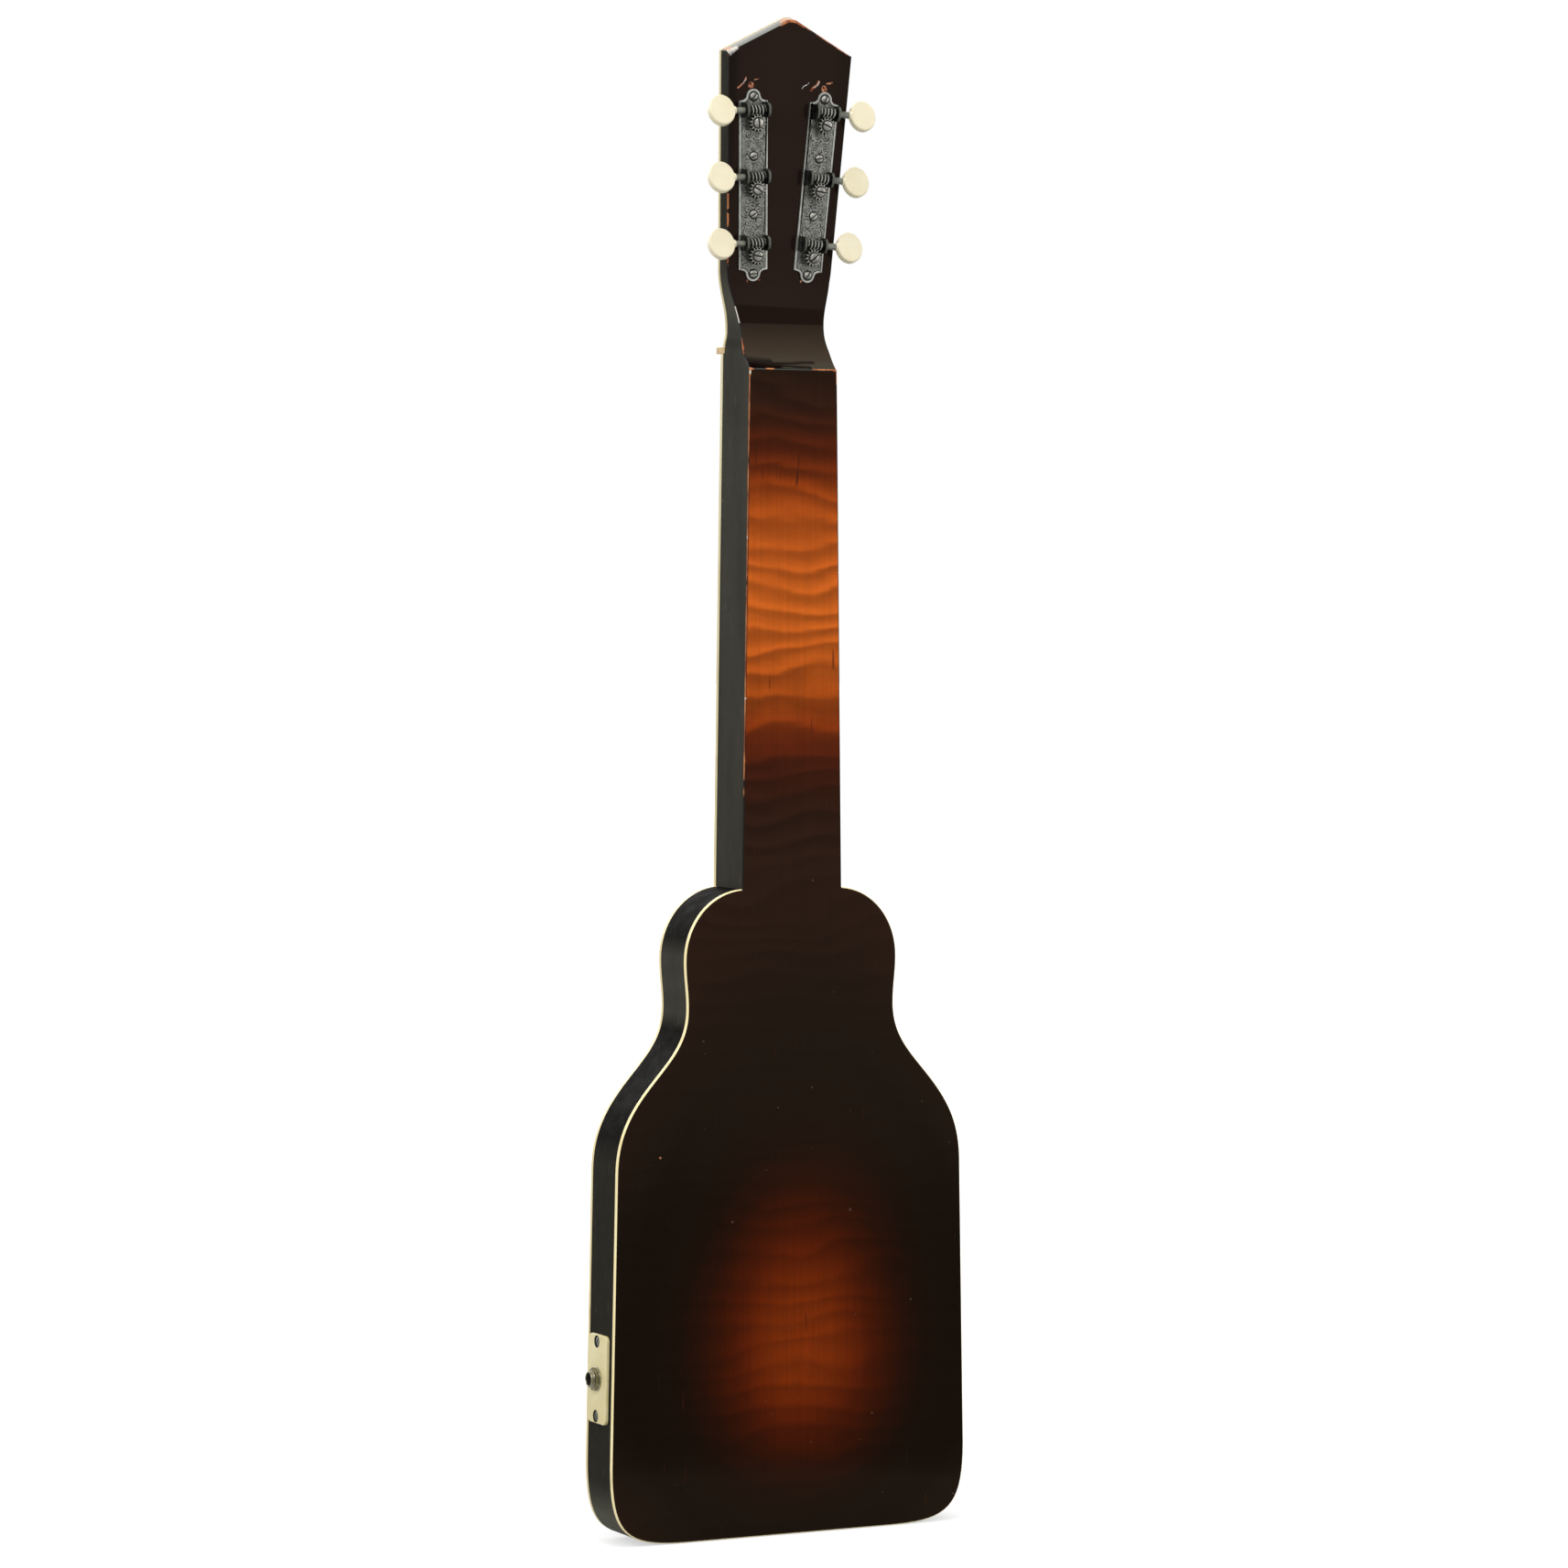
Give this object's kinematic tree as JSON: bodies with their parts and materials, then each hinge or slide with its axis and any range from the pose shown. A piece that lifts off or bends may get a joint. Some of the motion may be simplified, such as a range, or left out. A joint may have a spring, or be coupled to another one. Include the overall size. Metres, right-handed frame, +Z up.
{
  "type": "lap steel guitar",
  "caption": "Solid-body electric lap steel guitar with bound body and fingerboard, tilted head, worm-geared tuners on plates, high nut, blade pickup, bridge, knobs and side jack.",
  "frame": {"origin": "middle of the flat tail end, at mid-depth of the body", "axes": "+X across to the treble side, where the jack is; +Y out of the back, the strings are on the -Y side; +Z up along the neck to the head"},
  "size_m": [0.219, 0.0487, 0.8025],
  "materials": {
    "lacquered_maple": "gloss",
    "ivoroid": "gloss",
    "rosewood": "satin",
    "black_lacquer": "gloss",
    "bone": "satin",
    "plain_steel": "polished",
    "wound_nickel": "satin",
    "dark_steel": "satin",
    "ivory_plastic": "gloss",
    "black_plastic": "gloss",
    "coil_wire": "satin",
    "magnet": "matte",
    "pot_case": "satin",
    "aged_nickel": "satin"
  },
  "bodies": {
    "tuner_worm_treble_1": {"worm_treble_1": "dark_steel", "button_treble_1": "ivory_plastic"},
    "tuner_post_treble_1": {"post_treble_1": "aged_nickel", "gear_treble_1": "dark_steel", "gear_screw_treble_1": "aged_nickel"},
    "tuner_worm_treble_2": {"worm_treble_2": "dark_steel", "button_treble_2": "ivory_plastic"},
    "tuner_post_treble_2": {"post_treble_2": "aged_nickel", "gear_treble_2": "dark_steel", "gear_screw_treble_2": "aged_nickel"},
    "tuner_worm_treble_3": {"worm_treble_3": "dark_steel", "button_treble_3": "ivory_plastic"},
    "tuner_post_treble_3": {"post_treble_3": "aged_nickel", "gear_treble_3": "dark_steel", "gear_screw_treble_3": "aged_nickel"},
    "tuner_worm_bass_1": {"worm_bass_1": "dark_steel", "button_bass_1": "ivory_plastic"},
    "tuner_post_bass_1": {"post_bass_1": "aged_nickel", "gear_bass_1": "dark_steel", "gear_screw_bass_1": "aged_nickel"},
    "tuner_worm_bass_2": {"worm_bass_2": "dark_steel", "button_bass_2": "ivory_plastic"},
    "tuner_post_bass_2": {"post_bass_2": "aged_nickel", "gear_bass_2": "dark_steel", "gear_screw_bass_2": "aged_nickel"},
    "tuner_worm_bass_3": {"worm_bass_3": "dark_steel", "button_bass_3": "ivory_plastic"},
    "tuner_post_bass_3": {"post_bass_3": "aged_nickel", "gear_bass_3": "dark_steel", "gear_screw_bass_3": "aged_nickel"},
    "volume_knob": {"volume_knob": "black_plastic"},
    "tone_knob": {"tone_knob": "black_plastic"},
    "guitar": {"body": "lacquered_maple", "back_binding": "ivoroid", "front_binding": "ivoroid", "fingerboard": "rosewood", "fingerboard_binding": "ivoroid", "nut": "bone", "bridge": "aged_nickel", "string_1": "plain_steel", "string_2": "plain_steel", "string_3": "plain_steel", "string_4": "wound_nickel", "string_5": "wound_nickel", "string_6": "wound_nickel", "pickup_cover": "black_plastic", "pickup_coil": "coil_wire", "pickup_blade": "plain_steel", "pickup_magnet": "magnet", "volume_pot": "pot_case", "tone_pot": "pot_case", "jack_plate": "ivory_plastic", "jack": "aged_nickel", "jack_nut": "aged_nickel", "jack_plate_screw_upper": "dark_steel", "jack_plate_screw_lower": "dark_steel", "head_veneer": "black_lacquer", "head_binding": "ivoroid", "tuner_plate_treble": "aged_nickel", "tuner_plate_bass": "aged_nickel"}
  },
  "joints": [
    {"name": "worm_turn_treble_1", "type": "hinge", "parent": "guitar", "child": "tuner_worm_treble_1", "pos_m": [0.01696, 0.00682, 0.68512], "axis": [0.9986, -0.0057, -0.0529], "continuous": true},
    {"name": "post_turn_treble_1", "type": "hinge", "parent": "guitar", "child": "tuner_post_treble_1", "pos_m": [0.0166, 0.0061, 0.67847], "axis": [0, 0.9942, -0.108], "continuous": true},
    {"name": "worm_turn_treble_2", "type": "hinge", "parent": "guitar", "child": "tuner_worm_treble_2", "pos_m": [0.01881, 0.01059, 0.71977], "axis": [0.9986, -0.0057, -0.0529], "continuous": true},
    {"name": "post_turn_treble_2", "type": "hinge", "parent": "guitar", "child": "tuner_post_treble_2", "pos_m": [0.01846, 0.00986, 0.71312], "axis": [0, 0.9942, -0.108], "continuous": true},
    {"name": "worm_turn_treble_3", "type": "hinge", "parent": "guitar", "child": "tuner_worm_treble_3", "pos_m": [0.02067, 0.01435, 0.75442], "axis": [0.9986, -0.0057, -0.0529], "continuous": true},
    {"name": "post_turn_treble_3", "type": "hinge", "parent": "guitar", "child": "tuner_post_treble_3", "pos_m": [0.02031, 0.01363, 0.74776], "axis": [0, 0.9942, -0.108], "continuous": true},
    {"name": "worm_turn_bass_1", "type": "hinge", "parent": "guitar", "child": "tuner_worm_bass_1", "pos_m": [-0.01696, 0.00682, 0.68512], "axis": [-0.9986, -0.0057, -0.0529], "continuous": true},
    {"name": "post_turn_bass_1", "type": "hinge", "parent": "guitar", "child": "tuner_post_bass_1", "pos_m": [-0.0166, 0.0061, 0.67847], "axis": [0, 0.9942, -0.108], "continuous": true},
    {"name": "worm_turn_bass_2", "type": "hinge", "parent": "guitar", "child": "tuner_worm_bass_2", "pos_m": [-0.01881, 0.01059, 0.71977], "axis": [-0.9986, -0.0057, -0.0529], "continuous": true},
    {"name": "post_turn_bass_2", "type": "hinge", "parent": "guitar", "child": "tuner_post_bass_2", "pos_m": [-0.01846, 0.00986, 0.71312], "axis": [0, 0.9942, -0.108], "continuous": true},
    {"name": "worm_turn_bass_3", "type": "hinge", "parent": "guitar", "child": "tuner_worm_bass_3", "pos_m": [-0.02067, 0.01435, 0.75442], "axis": [-0.9986, -0.0057, -0.0529], "continuous": true},
    {"name": "post_turn_bass_3", "type": "hinge", "parent": "guitar", "child": "tuner_post_bass_3", "pos_m": [-0.02031, 0.01363, 0.74776], "axis": [0, 0.9942, -0.108], "continuous": true},
    {"name": "volume_turn", "type": "hinge", "parent": "guitar", "child": "volume_knob", "pos_m": [0.066, 0, 0.15], "axis": [0, -1, 0], "range_deg": [-150, 150]},
    {"name": "tone_turn", "type": "hinge", "parent": "guitar", "child": "tone_knob", "pos_m": [0.066, 0, 0.098], "axis": [0, -1, 0], "range_deg": [-150, 150]}
  ],
  "couplings": [
    {"joint": "post_turn_treble_1", "follows": "worm_turn_treble_1", "ratio": -0.071429},
    {"joint": "post_turn_treble_2", "follows": "worm_turn_treble_2", "ratio": -0.071429},
    {"joint": "post_turn_treble_3", "follows": "worm_turn_treble_3", "ratio": -0.071429},
    {"joint": "post_turn_bass_1", "follows": "worm_turn_bass_1", "ratio": -0.071429},
    {"joint": "post_turn_bass_2", "follows": "worm_turn_bass_2", "ratio": -0.071429},
    {"joint": "post_turn_bass_3", "follows": "worm_turn_bass_3", "ratio": -0.071429}
  ]
}
